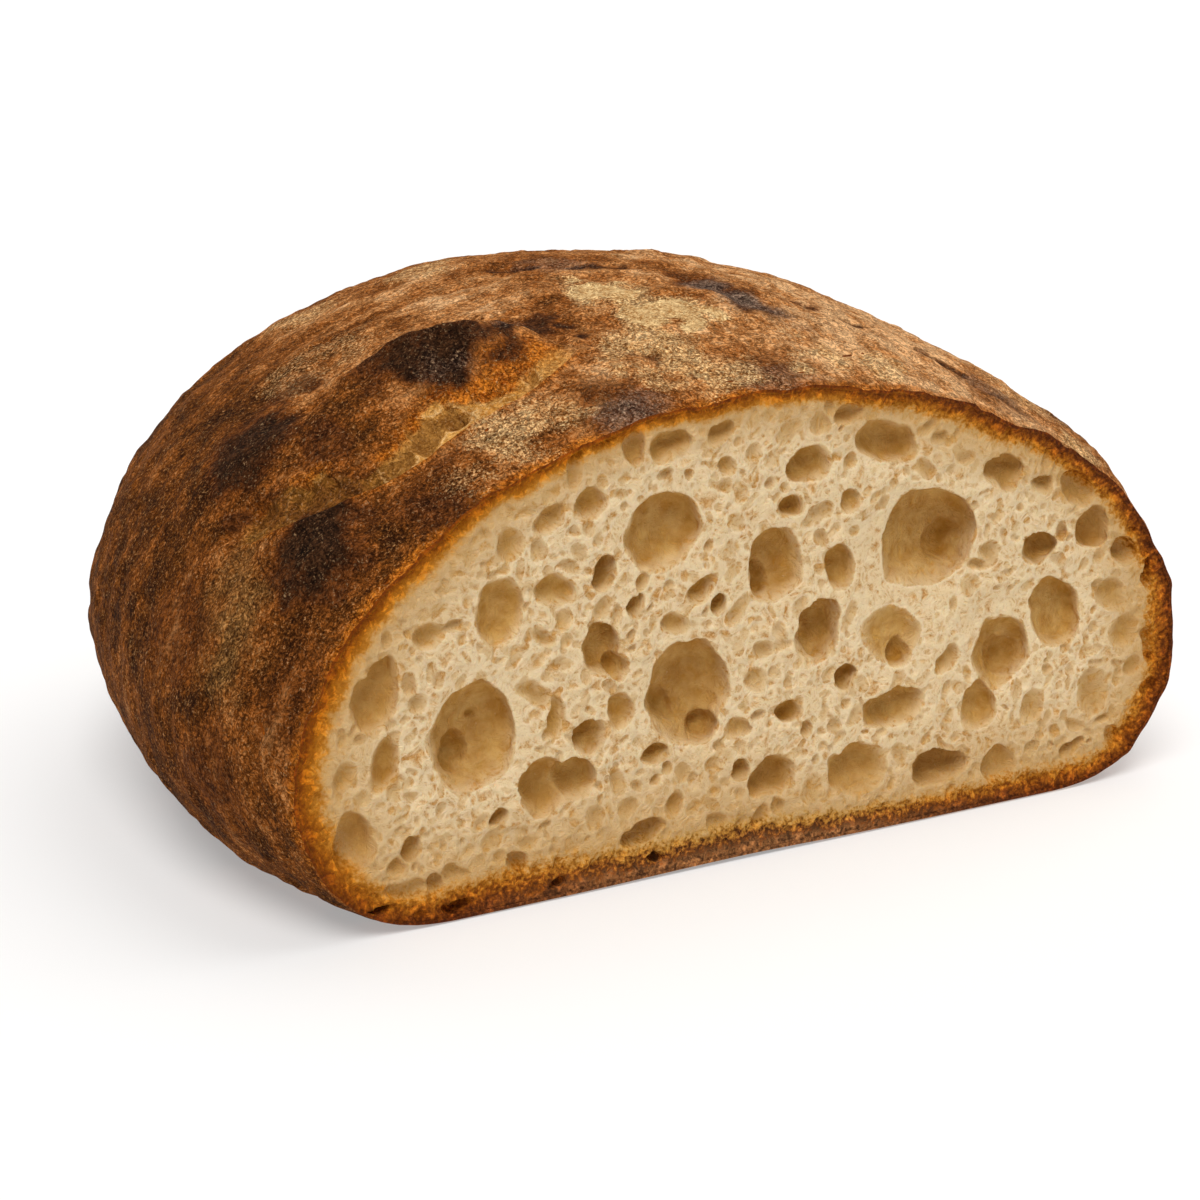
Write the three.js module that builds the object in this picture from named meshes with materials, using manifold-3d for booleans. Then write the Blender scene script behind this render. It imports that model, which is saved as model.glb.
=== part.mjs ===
// A miche: a big round country loaf of bread, sliced straight down in front of its middle.
// About four fifths of the loaf is left. It stands on its flat floor-baked base, and the
// slice shows an open crumb. One solid: the crust is only the crumb's browned outside.
//
// Millimetres. Z is up, X runs along the slice and the slice looks to -Y. The origin is on
// the floor, under the middle of what is left of the loaf.

import * as THREE from 'three';
import { mergeVertices } from 'three/addons/utils/BufferGeometryUtils.js';
import Module from 'manifold-3d';

// The whole loaf, before it is sliced
const HEIGHT = 133.5; // floor to crown
const BELLY_HEIGHT = 42.5; // the level where the loaf is widest
const HALF_WIDTH = 140; // radius along X at the belly
const HALF_LENGTH = 148.5; // radius along Y at the belly
const CROWN_SHIFT = { x: -3, y: 29 }; // how far the crown has slumped from above the base's middle
const CROWN_ROUNDNESS = { profile: 2.07, rise: 1.75 }; // powers of the curve from belly to crown
const FOOT_ROUNDNESS = { profile: 5.7, rise: 1.9 }; // powers of the curve from belly to floor
const FOOT_TUCK = 8; // the foot's curve would close this far below the floor
const LOBES = { count: 3, cosine: 0.012, sine: -0.012 }; // hand shaping leaves the plan a little uneven

// The slice
const SLICE_TO_MIDDLE = 57.5; // from the slice back to the middle of the base
const MIDDLE_X = -0.7; // the base's middle, measured along the slice

// The torn score on the crown's shoulder: its course, its valley and the ear that rises behind it.
// Here and below a place is its X, its distance behind the slice and its height above the floor.
const SCORE_COURSE = [
  [-116, 50, 88],
  [-98, 29, 100],
  [-76, 25, 112],
  [-52, 28, 121],
  [-30, 41, 128],
];
const SCORE_STEPS = 48;
const VALLEY = { halfWidth: 9, depth: 5 };
const EAR = { setback: 18, halfWidth: 11, height: 4 }; // setback is from the valley's middle

// Blisters and hollows of the crust: where each lies, how far it reaches and how high it rises
const SWELLINGS = [
  { at: [-107, 70, 100], reach: 17, rise: 2.5 },
  { at: [-66, 56, 121], reach: 15, rise: 2.5 },
  { at: [-111, 27, 89], reach: 14, rise: 3 },
  { at: [-84, 5, 100], reach: 14, rise: 1 },
  { at: [-40, 5, 115], reach: 14, rise: 1.5 },
  { at: [15, 46, 129], reach: 16, rise: 1.5 },
  { at: [76, 62, 115], reach: 30, rise: -1.6 },
  { at: [106, 20, 87], reach: 22, rise: 2.2 },
  { at: [-137, 84, 42], reach: 42, rise: -2.4 },
  { at: [46, 155, 112], reach: 26, rise: 1.5 },
  { at: [-40, 195, 75], reach: 26, rise: 2 },
  { at: [104, 128, 70], reach: 26, rise: 2 },
];

// Large pockets of the crumb that the slice has opened: the middle of each mouth along X and
// above the floor, its half width and half height, how deep it runs and how it leans (degrees)
const POCKETS = [
  { x: 47, z: 75, halfWidth: 13, halfHeight: 13.5, depth: 12, lean: -20 },
  { x: -24, z: 46, halfWidth: 12.5, halfHeight: 12, depth: 11, lean: 0 },
  { x: -32, z: 87, halfWidth: 11, halfHeight: 10, depth: 8, lean: 30 },
  { x: -82, z: 44, halfWidth: 11, halfHeight: 13.5, depth: 11, lean: 0 },
  { x: -1, z: 74, halfWidth: 8, halfHeight: 9, depth: 8, lean: 15 },
  { x: 31, z: 100, halfWidth: 10, halfHeight: 5, depth: 7, lean: -12 },
  { x: -109, z: 58, halfWidth: 6, halfHeight: 9.5, depth: 6, lean: -12 },
  { x: -77, z: 73, halfWidth: 6.5, halfHeight: 7.5, depth: 5, lean: -25 },
  { x: -50, z: 60, halfWidth: 6, halfHeight: 7.5, depth: 7, lean: 0 },
  { x: 18, z: 70, halfWidth: 5, halfHeight: 6.5, depth: 6, lean: 15 },
  { x: 12, z: 55, halfWidth: 7, halfHeight: 7.5, depth: 8, lean: 0 },
  { x: 34, z: 51, halfWidth: 8, halfHeight: 7, depth: 4, lean: 0 },
  { x: 70, z: 42, halfWidth: 9, halfHeight: 9, depth: 8, lean: 0 },
  { x: 87, z: 49, halfWidth: 10, halfHeight: 8, depth: 6, lean: 30 },
  { x: 62, z: 28, halfWidth: 5.5, halfHeight: 6.5, depth: 5, lean: 0 },
  { x: 35, z: 32, halfWidth: 9.5, halfHeight: 5.5, depth: 6, lean: 0 },
  { x: 8, z: 98, halfWidth: 6, halfHeight: 4.5, depth: 5, lean: 0 },
  { x: -62, z: 29, halfWidth: 10, halfHeight: 7, depth: 7, lean: 0 },
  { x: 0, z: 20, halfWidth: 7.5, halfHeight: 5, depth: 6, lean: 0 },
  { x: 25, z: 17, halfWidth: 8, halfHeight: 5.5, depth: 6, lean: 0 },
  { x: 51, z: 13, halfWidth: 7.5, halfHeight: 5, depth: 6, lean: 0 },
  { x: -115, z: 24, halfWidth: 5, halfHeight: 7.5, depth: 5, lean: 0 },
];

// Facets
const FACETS_AROUND = 120;
const FOOT_LEVELS = 7;
const CROWN_LEVELS = 27;
const POCKET_FACETS = { around: 12, across: 8 };

const CRUMB_COLOUR = '#c99a62';

// How wide the loaf is at a level, as a share of its width at the belly
function profileAt(z) {
  if (z >= BELLY_HEIGHT) {
    const climb = Math.min(1, (z - BELLY_HEIGHT) / (HEIGHT - BELLY_HEIGHT));
    return (1 - climb ** CROWN_ROUNDNESS.rise) ** (1 / CROWN_ROUNDNESS.profile);
  }
  const drop = (BELLY_HEIGHT - z) / (BELLY_HEIGHT + FOOT_TUCK);
  return (1 - drop ** FOOT_ROUNDNESS.rise) ** (1 / FOOT_ROUNDNESS.profile);
}

// The plan's radius in a direction: an oval with shallow lobes
function radiusAt(angle) {
  const oval = 1 / Math.hypot(Math.cos(angle) / HALF_WIDTH, Math.sin(angle) / HALF_LENGTH);
  const { count, cosine, sine } = LOBES;
  return oval * (1 + cosine * Math.cos(count * angle) + sine * Math.sin(count * angle));
}

// A point of the smooth loaf, at an angle round it and a level above the floor
function loafPoint(angle, z) {
  const reach = profileAt(z) * radiusAt(angle);
  const x = MIDDLE_X + (CROWN_SHIFT.x * z) / HEIGHT + reach * Math.cos(angle);
  const y = SLICE_TO_MIDDLE + (CROWN_SHIFT.y * z) / HEIGHT + reach * Math.sin(angle);
  return new THREE.Vector3(x, y, z);
}

function bell(distance, reach) {
  return Math.exp(-((distance / reach) ** 2));
}

const scoreCurve = new THREE.CatmullRomCurve3(SCORE_COURSE.map((point) => new THREE.Vector3(...point)));
const scorePoints = scoreCurve.getSpacedPoints(SCORE_STEPS);

// How far the torn score moves the crust in or out at a point
function scoreRelief(point) {
  let nearest = 0;
  for (let step = 1; step <= SCORE_STEPS; step += 1) {
    if (point.distanceTo(scorePoints[step]) < point.distanceTo(scorePoints[nearest])) nearest = step;
  }
  const fade = Math.sqrt(Math.sin((Math.PI * nearest) / SCORE_STEPS));
  const distance = point.distanceTo(scorePoints[nearest]);
  const uphill = point.z >= scorePoints[nearest].z ? 1 : -1;
  const valley = -VALLEY.depth * bell(distance, VALLEY.halfWidth);
  const ear = EAR.height * bell(uphill * distance - EAR.setback, EAR.halfWidth);
  return fade * (valley + ear);
}

// How far the crust's blisters and hollows move it in or out at a point
function swellingRelief(point) {
  let relief = 0;
  for (const { at, reach, rise } of SWELLINGS) {
    relief += rise * bell(point.distanceTo(new THREE.Vector3(...at)), reach);
  }
  return relief;
}

// The whole loaf as a closed grid: rings from the floor to the crown, closed by a base and a tip
function wholeLoaf() {
  const levels = [];
  for (let i = 0; i < FOOT_LEVELS; i += 1) levels.push((BELLY_HEIGHT * i) / FOOT_LEVELS);
  for (let i = 0; i < CROWN_LEVELS; i += 1) {
    const turn = (Math.PI / 2) * (i / CROWN_LEVELS);
    levels.push(BELLY_HEIGHT + (HEIGHT - BELLY_HEIGHT) * Math.sin(turn));
  }
  const core = new THREE.Vector3(MIDDLE_X, SLICE_TO_MIDDLE, BELLY_HEIGHT);
  const positions = [];
  for (const z of levels) {
    for (let j = 0; j < FACETS_AROUND; j += 1) {
      const point = loafPoint((2 * Math.PI * j) / FACETS_AROUND, z);
      const relief = scoreRelief(point) + swellingRelief(point);
      const outward = point.clone().sub(core).normalize();
      point.addScaledVector(outward, relief);
      if (z === 0) point.z = 0;
      positions.push(point.x, point.y, point.z);
    }
  }
  const baseMiddle = positions.length / 3;
  positions.push(MIDDLE_X, SLICE_TO_MIDDLE, 0);
  const tip = baseMiddle + 1;
  positions.push(MIDDLE_X + CROWN_SHIFT.x, SLICE_TO_MIDDLE + CROWN_SHIFT.y, HEIGHT);
  const triangles = [];
  for (let i = 0; i + 1 < levels.length; i += 1) {
    for (let j = 0; j < FACETS_AROUND; j += 1) {
      const next = (j + 1) % FACETS_AROUND;
      const low = i * FACETS_AROUND;
      const high = low + FACETS_AROUND;
      triangles.push(low + j, low + next, high + next);
      triangles.push(low + j, high + next, high + j);
    }
  }
  const top = (levels.length - 1) * FACETS_AROUND;
  for (let j = 0; j < FACETS_AROUND; j += 1) {
    const next = (j + 1) % FACETS_AROUND;
    triangles.push(baseMiddle, next, j);
    triangles.push(top + j, top + next, tip);
  }
  const geometry = new THREE.BufferGeometry();
  geometry.setAttribute('position', new THREE.Float32BufferAttribute(positions, 3));
  geometry.setIndex(triangles);
  return geometry;
}

// What the knife took away: everything in front of the slice
function knifeBlock() {
  const size = 4 * HEIGHT;
  const geometry = new THREE.BoxGeometry(size, size, size);
  geometry.translate(0, -size / 2, 0);
  return geometry;
}

// One pocket of the crumb: an egg whose middle lies on the slice
function pocketEgg({ x, z, halfWidth, halfHeight, depth, lean }) {
  const geometry = new THREE.SphereGeometry(1, POCKET_FACETS.around, POCKET_FACETS.across);
  geometry.rotateX(Math.PI / 2);
  geometry.scale(halfWidth, depth, halfHeight);
  geometry.rotateY(THREE.MathUtils.degToRad(lean));
  geometry.translate(x, 0, z);
  return geometry;
}

const manifold = await Module();
manifold.setup();

function toSolid(geometry) {
  const bare = geometry.clone();
  bare.deleteAttribute('normal');
  bare.deleteAttribute('uv');
  const merged = mergeVertices(bare);
  const vertProperties = Float32Array.from(merged.attributes.position.array);
  const triVerts = Uint32Array.from(merged.index.array);
  return new manifold.Manifold(new manifold.Mesh({ numProp: 3, vertProperties, triVerts }));
}

function toGeometry(solid) {
  const { vertProperties, triVerts } = solid.getMesh();
  const geometry = new THREE.BufferGeometry();
  geometry.setAttribute('position', new THREE.Float32BufferAttribute(vertProperties, 3));
  geometry.setIndex(Array.from(triVerts));
  geometry.computeVertexNormals();
  return geometry;
}

let loaf = toSolid(wholeLoaf()).subtract(toSolid(knifeBlock()));
for (const pocket of POCKETS) loaf = loaf.subtract(toSolid(pocketEgg(pocket)));

// The loaf is built from its slice backwards, then moved to stand over the origin
const loafGeometry = toGeometry(loaf);
loafGeometry.computeBoundingBox();
const middle = loafGeometry.boundingBox.getCenter(new THREE.Vector3());
loafGeometry.translate(-middle.x, -middle.y, 0);

const crumb = new THREE.MeshStandardMaterial({ color: CRUMB_COLOUR, roughness: 0.9, metalness: 0 });
const cutLoaf = new THREE.Mesh(loafGeometry, crumb);
cutLoaf.name = 'cut_loaf';

const miche = new THREE.Group();
miche.add(cutLoaf);

export default miche;
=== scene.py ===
import math

import bpy
import numpy as np
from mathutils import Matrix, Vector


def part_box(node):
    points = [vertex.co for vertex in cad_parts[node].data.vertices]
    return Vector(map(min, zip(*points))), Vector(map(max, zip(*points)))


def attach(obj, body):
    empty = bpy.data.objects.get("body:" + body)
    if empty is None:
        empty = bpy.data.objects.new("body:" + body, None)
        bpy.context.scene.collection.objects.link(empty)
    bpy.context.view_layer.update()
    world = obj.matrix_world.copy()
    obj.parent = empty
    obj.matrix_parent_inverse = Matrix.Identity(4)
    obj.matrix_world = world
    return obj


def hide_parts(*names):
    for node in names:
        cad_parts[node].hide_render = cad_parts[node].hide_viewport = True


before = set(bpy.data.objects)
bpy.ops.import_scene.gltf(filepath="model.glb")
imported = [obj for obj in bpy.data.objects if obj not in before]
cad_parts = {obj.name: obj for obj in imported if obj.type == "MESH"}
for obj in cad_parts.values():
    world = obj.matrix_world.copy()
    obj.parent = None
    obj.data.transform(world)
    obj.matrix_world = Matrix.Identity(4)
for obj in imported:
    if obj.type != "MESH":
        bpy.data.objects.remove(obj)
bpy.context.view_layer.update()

import openvdb
from mathutils import Quaternion, Vector

low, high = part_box("cut_loaf")
MM = 0.001


# Camera. A long lens looks slightly down at the loaf, from the left of the cut face.
VIEW_AZIMUTH = math.radians(-30.72)
VIEW_ELEVATION = math.radians(16.82)
VIEW_ROLL = math.radians(0.56)
VIEW_DISTANCE = 768 * MM
VIEW_TARGET = Vector((-14.4, low.y / MM + 60.7, 51.3)) * MM


def way_to(azimuth, elevation):
    """The direction towards something at that azimuth and elevation."""
    level = math.cos(elevation)
    return Vector((math.sin(azimuth) * level, -math.cos(azimuth) * level, math.sin(elevation)))


backwards = way_to(VIEW_AZIMUTH, VIEW_ELEVATION)
lens = bpy.data.cameras.new("camera")
lens.sensor_width = 36
lens.lens = 89.85
camera = bpy.data.objects.new("camera", lens)
camera.location = VIEW_TARGET + backwards * VIEW_DISTANCE
camera.rotation_mode = "QUATERNION"
camera.rotation_quaternion = backwards.to_track_quat("Z", "Y") @ Quaternion((0, 0, 1), VIEW_ROLL)
bpy.context.scene.collection.objects.link(camera)
bpy.context.scene.camera = camera


# Floor and light. A plain white studio floor under three broad, soft lamps: the main one high
# at the front left, one on the right and a weak one behind. White light comes from all round.
def add_node(tree, kind, settings=None, links=None):
    """A node with its settings and input values, and with links into its inputs.

    A link comes from a socket, or from a node for that node's first output.
    """
    node = tree.nodes.new("ShaderNode" + kind)
    for name, value in (settings or {}).items():
        if name == "stops":
            points = node.color_ramp.elements
            while len(points) < len(value):
                points.new(0.5)
            for point, (position, colour) in zip(points, value):
                point.position = position
                point.color = linear(colour)
        elif isinstance(name, int) or name in node.inputs:
            node.inputs[name].default_value = value
        else:
            setattr(node, name, value)
    for name, source in (links or {}).items():
        socket = source.outputs[0] if isinstance(source, bpy.types.Node) else source
        tree.links.new(socket, node.inputs[name])
    return node


def linear(colour):
    """An sRGB hex colour as linear RGBA."""
    channels = [int(colour[i:i + 2], 16) / 255 for i in (1, 3, 5)]
    return [c / 12.92 if c <= 0.04045 else ((c + 0.055) / 1.055) ** 2.4 for c in channels] + [1.0]


def new_material(name):
    """An empty node material, its tree and its output node."""
    material = bpy.data.materials.new(name)
    material.use_nodes = True
    material.node_tree.nodes.clear()
    return material, material.node_tree, material.node_tree.nodes.new("ShaderNodeOutputMaterial")


# A lit table of matt white plastic: it glows a little, which keeps the loaf's shadow pale
floor_material, tree, output = new_material("lit_white_table")
floor_shader = add_node(tree, "BsdfPrincipled", {
    "Base Color": linear("#c8c6c4"),
    "Roughness": 1.0,
    "Specular IOR Level": 0.0,
    "Emission Color": linear("#ffffff"),
    "Emission Strength": 0.335,
})
tree.links.new(floor_shader.outputs[0], output.inputs["Surface"])
FLOOR_HALF = 6.0
floor_mesh = bpy.data.meshes.new("floor")
floor_corners = [(-FLOOR_HALF, -FLOOR_HALF, 0), (FLOOR_HALF, -FLOOR_HALF, 0),
                 (FLOOR_HALF, FLOOR_HALF, 0), (-FLOOR_HALF, FLOOR_HALF, 0)]
floor_mesh.from_pydata(floor_corners, [], [(0, 1, 2, 3)])
floor_mesh.materials.append(floor_material)
floor = bpy.data.objects.new("floor", floor_mesh)
bpy.context.scene.collection.objects.link(floor)

# Each lamp: name, strength, angle across, azimuth and elevation, in degrees
LAMPS = [("key_lamp", 2.1, 34, -38, 58), ("side_lamp", 1.25, 55, 95, 58), ("back_lamp", 0.45, 60, 170, 50)]
for name, strength, spread, azimuth, elevation in LAMPS:
    lamp = bpy.data.lights.new(name, "SUN")
    lamp.energy = strength
    lamp.angle = math.radians(spread)
    lamp_object = bpy.data.objects.new(name, lamp)
    towards = way_to(math.radians(azimuth), math.radians(elevation))
    lamp_object.rotation_mode = "QUATERNION"
    lamp_object.rotation_quaternion = towards.to_track_quat("Z", "Y")
    bpy.context.scene.collection.objects.link(lamp_object)

world = bpy.data.worlds.new("white_room")
world.use_nodes = True
world.node_tree.nodes["Background"].inputs["Color"].default_value = linear("#ffffff")
world.node_tree.nodes["Background"].inputs["Strength"].default_value = 0.25
bpy.context.scene.world = world
bpy.context.scene.view_settings.view_transform = "Standard"


# Crust. The outside of the loaf: sourdough that the oven has dried and browned, and torn open
# along the baker's score, with blisters, creases, flour and scorched places. It is one closed
# body from the skin inwards, with a recess behind the slice that the crumb fills.
# Places are in millimetres: X, distance behind the slice, height.
HEIGHT = high.z / MM
SLICE_Y = low.y / MM
BELLY_HEIGHT = 0.318 * HEIGHT
HALF_WIDTH = 140
HALF_LENGTH = 148.5
MIDDLE = (-0.7, 57.5)
CROWN_SHIFT = (-3, 29)
CROWN_POWERS = (1.75, 2.07)
FOOT_POWERS = (1.9, 5.7)
FOOT_TUCK = 8
LOBES = (3, 0.012, -0.012)
EDGE_SOFTNESS = 5


def roundness(x, y, z):
    """How far inside the smooth loaf a point is, measured level: positive inside."""
    rise = np.clip((z - BELLY_HEIGHT) / (HEIGHT - BELLY_HEIGHT), 0, 1)
    drop = np.clip((BELLY_HEIGHT - z) / (BELLY_HEIGHT + FOOT_TUCK), 0, 1)
    profile = np.where(
        z >= BELLY_HEIGHT,
        (1 - rise ** CROWN_POWERS[0]) ** (1 / CROWN_POWERS[1]),
        (1 - drop ** FOOT_POWERS[0]) ** (1 / FOOT_POWERS[1]),
    )
    across = x - MIDDLE[0] - CROWN_SHIFT[0] * z / HEIGHT
    along = y - MIDDLE[1] - CROWN_SHIFT[1] * z / HEIGHT
    angle = np.arctan2(along, across)
    count, cosine, sine = LOBES
    oval = 1 / np.hypot(np.cos(angle) / HALF_WIDTH, np.sin(angle) / HALF_LENGTH)
    lobes = 1 + cosine * np.cos(count * angle) + sine * np.sin(count * angle)
    return profile * oval * lobes - np.hypot(across, along)


def bell(distance, reach):
    """1 at no distance, fading smoothly to nothing over about twice the reach."""
    return np.exp(-(distance / reach) ** 2)


def smooth_min(a, b, softness):
    """The smaller of two distances, rounded where they meet."""
    overlap = np.maximum(softness - np.abs(a - b), 0) / softness
    return np.minimum(a, b) - overlap ** 2 * softness / 4


def base_height(x, y):
    """The base stands a little off the floor along the slice, and most near its middle."""
    return (0.4 + 0.7 * bell(x + 12, 30)) * bell(y, 25)


SLOPE_STEP = 0.4
LEAST_STEEPNESS = 0.3


def smooth_depth(x, y, z):
    """Distance under the skin of the smooth loaf, with its flat base, in millimetres."""
    step = SLOPE_STEP
    level = roundness(x, y, z)
    slope_x = (roundness(x + step, y, z) - roundness(x - step, y, z)) / (2 * step)
    slope_y = (roundness(x, y + step, z) - roundness(x, y - step, z)) / (2 * step)
    slope_z = (roundness(x, y, z + step) - roundness(x, y, z - step)) / (2 * step)
    steepness = np.maximum(np.sqrt(slope_x ** 2 + slope_y ** 2 + slope_z ** 2), LEAST_STEEPNESS)
    return smooth_min(level / steepness, z - base_height(x, y), EDGE_SOFTNESS)


LATTICE_SHAPE = (32, 32, 32)


def smoothed(part):
    """Turns an even share of the way between two cells into a smooth one."""
    return part * part * part * (part * (part * 6 - 15) + 10)


def blended(grid, base, part):
    """Values between a grid's cells, from each place's base cell and its share of the way on."""
    total = np.zeros(len(base))
    for corner in np.ndindex(2, 2, 2):
        weight = np.prod(np.where(corner, part, 1 - part), axis=1)
        total += weight * grid[tuple(((base + corner) % grid.shape).T)]
    return total


def point_noise(points, size, seed):
    """Smooth noise from -1 to 1 at points, with features of that size in millimetres."""
    lattice = np.random.default_rng(seed).uniform(-1, 1, LATTICE_SHAPE)
    cell = points / size
    base = np.floor(cell).astype(int)
    return blended(lattice, base, smoothed(cell - base))


# Blisters and hollows: place, reach and rise
SWELLINGS = [
    ((-109, 67, 101), 14, 2.4),
    ((-67, 58, 122), 12, 1.6),
    ((-57, 44, 126), 8, 1.8),
    ((-113, 23, 89), 14, 3.0),
    ((-83, 4, 101), 12, 1.2),
    ((-41, 4, 115), 14, 1.4),
    ((15, 46, 129), 12, 1.4),
    ((76, 62, 115), 30, -1.6),
    ((106, 20, 87), 22, 2.2),
    ((-137, 84, 42), 42, -2.4),
    ((-128, 108, 80), 34, 1.5),
    ((46, 155, 112), 26, 1.5),
    ((-40, 195, 75), 26, 2.0),
    ((104, 128, 70), 26, 2.0),
]


def swelling(points):
    """How far blisters and hollows lift the crust at points."""
    lift = np.zeros(len(points))
    for place, reach, rise in SWELLINGS:
        lift += rise * bell(np.linalg.norm(points - np.array(place), axis=1), reach)
    return lift


# The score's course over the crown's shoulder, as a smooth curve through its turning points
SCORE_COURSE = np.array([
    (-121, 52, 86), (-106, 35, 95), (-88, 28, 103), (-73, 28, 111), (-54, 30, 119), (-37, 39, 125),
], float)
SCORE_STEPS = 96


def smooth_curve(turns, steps):
    """A Catmull-Rom curve through the turning points."""
    padded = np.vstack([2 * turns[0] - turns[1], turns, 2 * turns[-1] - turns[-2]])
    places = np.linspace(0, len(turns) - 1, steps)
    first = np.minimum(places.astype(int), len(turns) - 2)
    t = (places - first)[:, None]
    a, b, c, d = (padded[first + i] for i in range(4))
    return 0.5 * (
        2 * b + (c - a) * t + (2 * a - 5 * b + 4 * c - d) * t ** 2
        + (3 * b - a - 3 * c + d) * t ** 3
    )


score_line = smooth_curve(SCORE_COURSE, SCORE_STEPS)


def score_place(points):
    """For each point: the share of the score passed (0 to 1) and the distance uphill of it."""
    away = points[:, None, :] - score_line[None, :, :]
    nearest = np.linalg.norm(away, axis=2).argmin(axis=1)
    course = np.gradient(score_line, axis=0)[nearest]
    outward = points - np.array((0, 60, 20))
    uphill_way = np.cross(outward, course)
    uphill_way /= np.linalg.norm(uphill_way, axis=1)[:, None]
    uphill = np.einsum("ij,ij->i", uphill_way, away[np.arange(len(points)), nearest])
    return nearest / (SCORE_STEPS - 1), uphill


def step_up(values, start, end):
    """Rises smoothly from 0 at start to 1 at end."""
    share = np.clip((values - start) / (end - start), 0, 1)
    return share * share * (3 - 2 * share)


# The ear behind the score, along the score's course: how far uphill its crest stands, how high
# it rises and how near the score it starts to rise
EAR_SHARES = [0.0, 0.2, 0.45, 0.65, 0.8, 1.0]
EAR_CRESTS = [22, 26, 30, 27, 19, 10]
EAR_HEIGHTS = [0.8, 2.6, 4.4, 5.6, 5.6, 3.0]
EAR_STARTS = [-2, -2, -3, -3, -1, 0]
EAR_BACK = 8
# The lip below the score and the valley behind it, by their distance uphill of the score
LIP_PLACE = -6.5
LIP_WIDTH = 1.8
LIP_HEIGHT = 1.0
VALLEY_EDGE = (-6.6, -4.4)
VALLEY_START = -5
VALLEY_WIDTH = 13
VALLEY_DEPTH = 3.0
# Pits that torn gas cells have left along the score: place, reach and depth
PITS = [
    ((-73, 31, 110), 5.0, 4.0),
    ((-81, 31, 107), 5.5, 2.2),
    ((-88, 29, 102), 5.0, 1.8),
    ((-100, 37, 97), 4.5, 2.6),
    ((-106, 38, 94), 5.5, 2.2),
    ((-114, 48, 88), 5.5, 2.6),
    ((-119, 53, 85), 3.5, 2.0),
    ((-53, 31, 117), 4.0, 2.6),
    ((-63, 32, 114), 3.5, 1.2),
]


FAR_FROM_PITS = 9.0


def pit_places(points):
    """How far outside the nearest pit's edge each point is, and how deep the pits lie there."""
    edge = np.full(len(points), FAR_FROM_PITS)
    cups = np.zeros(len(points))
    drift = [point_noise(points, 5, 66 + i) for i in range(3)]
    points = points + 1.8 * np.stack(drift, axis=1)
    for place, reach, depth in PITS:
        away = np.linalg.norm(points - np.array(place), axis=1)
        edge = np.minimum(edge, away - reach)
        cups = np.maximum(cups, depth * (1 - (away / reach) ** 2))
    return edge, cups


def score_relief(points, share, uphill):
    """The torn score in cross-section: a lip, a floor that leans towards it, and the ear behind."""
    open_here = np.sqrt(np.clip(np.sin(math.pi * share), 0, 1))
    lip = LIP_HEIGHT * bell(uphill - LIP_PLACE, LIP_WIDTH)
    floor_rise = np.clip((uphill - VALLEY_START) / VALLEY_WIDTH, 0, 1)
    valley = -VALLEY_DEPTH * step_up(uphill, *VALLEY_EDGE) * (1 - floor_rise)
    crest = np.interp(share, EAR_SHARES, EAR_CRESTS)
    start = np.interp(share, EAR_SHARES, EAR_STARTS)
    height = np.interp(share, EAR_SHARES, EAR_HEIGHTS)
    climb = np.clip((uphill - start) / (crest - start), 0, 1)
    ear = height * (0.5 * climb + 0.5 * step_up(climb, 0, 1))
    there = step_up(uphill, crest + EAR_BACK, crest + 0.5)
    there *= step_up(share, 0.0, 0.1)
    there *= step_up(share, 1.0, 0.95)
    ear *= there
    return open_here * (lip + valley) + ear - pit_places(points)[1]


CORE = np.array((MIDDLE[0], 0, BELLY_HEIGHT))

# Creases: pinched lines in the leathery crust, each along a chord of the crown, with its
# width, its depth and how dark it is along it: partly burnt, partly painted shade in the fold
CREASES = [
    ((-26, 94, 132), (6, 74, 134), 2.2, 0.9, 1.0),
    ((11, 62, 132), (20, 37, 127), 4.5, 0.7, 0.9),
    ((31, 53, 128), (45, 36, 122), 1.8, 0.7, 0.85),
    ((-68, 47, 126), (-52, 46, 129), 1.8, 0.6, 1.1),
    ((-52, 46, 129), (-39, 51, 129), 1.8, 0.7, 1.2),
    ((-39, 51, 129), (-32, 46, 128), 1.5, 0.7, 1.2),
    ((-32, 46, 128), (-34, 33, 125), 1.3, 0.7, 1.1),
    ((60, 31, 115), (68, 20, 110), 1.8, 0.8, 0.8),
    ((67, 17, 108), (80, 8, 101), 4.5, 0.5, 0.6),
    ((-66, 49, 125), (-69, 41, 122), 1.6, 1.2, 1.0),
    ((-31, 30, 126), (-18, 12, 121), 1.8, 0.6, 0.6),
    ((84, 34, 104), (108, 24, 88), 2.2, 0.6, 0.45),
]
KNIFE_FLARE = 0.8


def chord_distance(points, start, end):
    """The distance of points from the straight line between two places."""
    start, end = np.array(start, float), np.array(end, float)
    chord = end - start
    share = np.clip((points - start) @ chord / (chord @ chord), 0, 1)
    return np.linalg.norm(points - start - share[:, None] * chord, axis=1)


def flow_places(points):
    """Place round the loaf and along it in millimetres, and how far the wrinkles turn endwise."""
    across, up = points[:, 0] - CORE[0], points[:, 2] - CORE[2]
    return np.stack([np.arctan2(across, up) * 100, points[:, 1], step_up(points[:, 0], -40, 20)], axis=1)


BACK_STARTS = 100
BACK_ENDS = 175


def far_back(points):
    """0 on the front and the sides, rising to 1 on the back, where the wrinkles run all ways."""
    return step_up(points[:, 1], BACK_STARTS, BACK_ENDS)


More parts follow.
